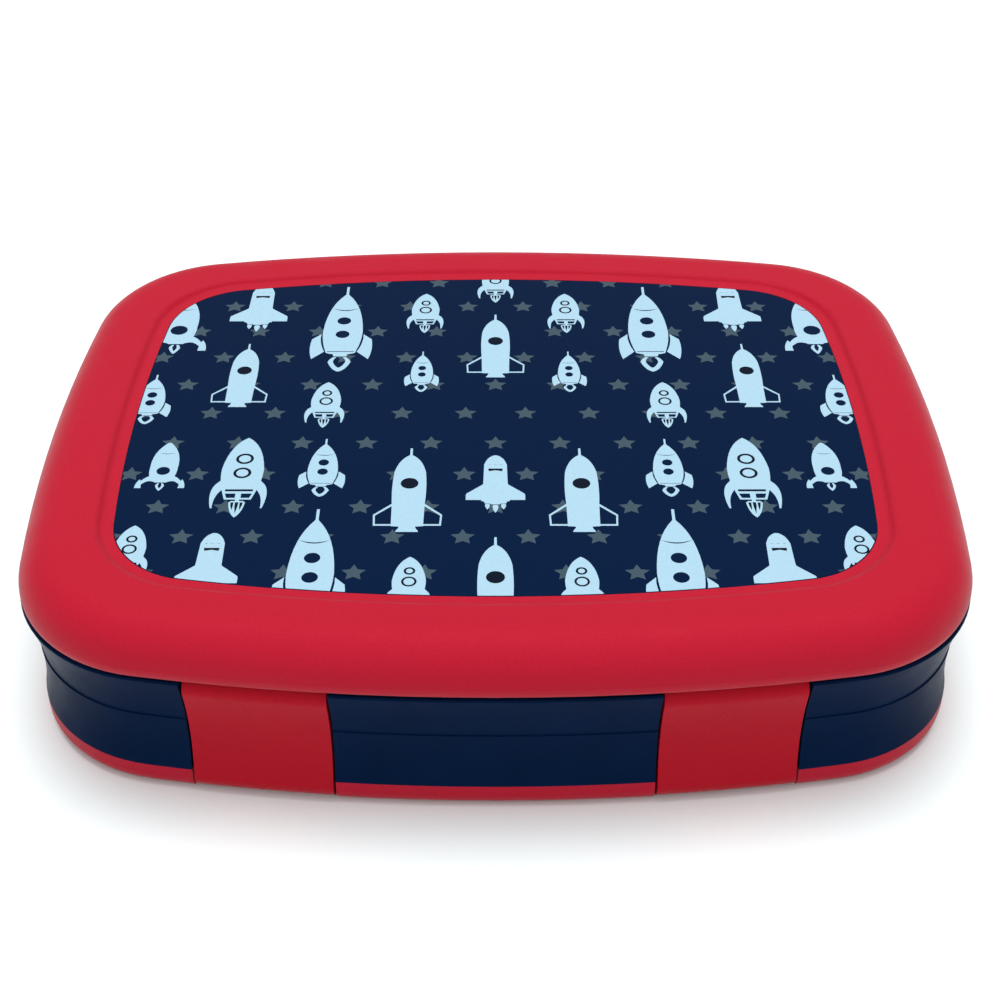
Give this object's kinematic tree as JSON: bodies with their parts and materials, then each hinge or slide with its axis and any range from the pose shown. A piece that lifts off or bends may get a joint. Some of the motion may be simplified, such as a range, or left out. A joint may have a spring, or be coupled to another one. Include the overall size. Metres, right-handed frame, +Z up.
{
  "type": "children's compartment lunch box",
  "caption": "Flat bento lunch box with a waisted tub, five lift-out food cups, a hinged lid with a soft red frame and printed panel, and pull-out front latches.",
  "frame": {"origin": "on the ground under the middle of the closed box", "axes": "+X along the width, +Y towards the hinge side, +Z up"},
  "size_m": [0.216, 0.1724, 0.0481],
  "materials": {
    "navy_shell": "satin moulded polypropylene",
    "soft_red": "soft-touch thermoplastic elastomer, fine matte grain",
    "latch_red": "semi-gloss moulded plastic",
    "cup_blue": "satin food-safe plastic",
    "cover_blue": "satin moulded plastic",
    "seal_silicone": "milky silicone",
    "printed_film": "satin printed film with light blue and grey-green motifs",
    "steel": "ground stainless pin"
  },
  "bodies": {
    "base": {"base_shell": "navy_shell", "base_bumper": "soft_red", "cup_sandwich": "cup_blue", "cup_side": "cup_blue", "cup_fruit": "cup_blue", "cup_vegetable": "cup_blue", "cup_dip": "cup_blue", "hinge_pin_left": "steel", "hinge_pin_right": "steel"},
    "lid": {"lid_shell": "navy_shell", "lid_bumper": "soft_red", "print_panel": "printed_film", "inner_cover": "cover_blue", "seal_sandwich": "seal_silicone", "seal_side": "seal_silicone", "seal_fruit": "seal_silicone", "seal_vegetable": "seal_silicone", "seal_dip": "seal_silicone", "latch_pin_left": "steel", "latch_pin_right": "steel"},
    "latch_left": {"latch_left": "latch_red"},
    "latch_right": {"latch_right": "latch_red"}
  },
  "joints": [
    {"name": "lid_hinge", "type": "hinge", "parent": "base", "child": "lid", "pos_m": [0, 0.0834, 0.036], "axis": [-1, 0, 0], "range_deg": [0, 110]},
    {"name": "latch_left_hinge", "type": "hinge", "parent": "lid", "child": "latch_left", "pos_m": [-0.0505, -0.07725, 0.0306], "axis": [-0.9932, 0.1164, 0], "range_deg": [0, 95]},
    {"name": "latch_right_hinge", "type": "hinge", "parent": "lid", "child": "latch_right", "pos_m": [0.0505, -0.07725, 0.0306], "axis": [-0.9932, -0.1164, 0], "range_deg": [0, 95]}
  ]
}
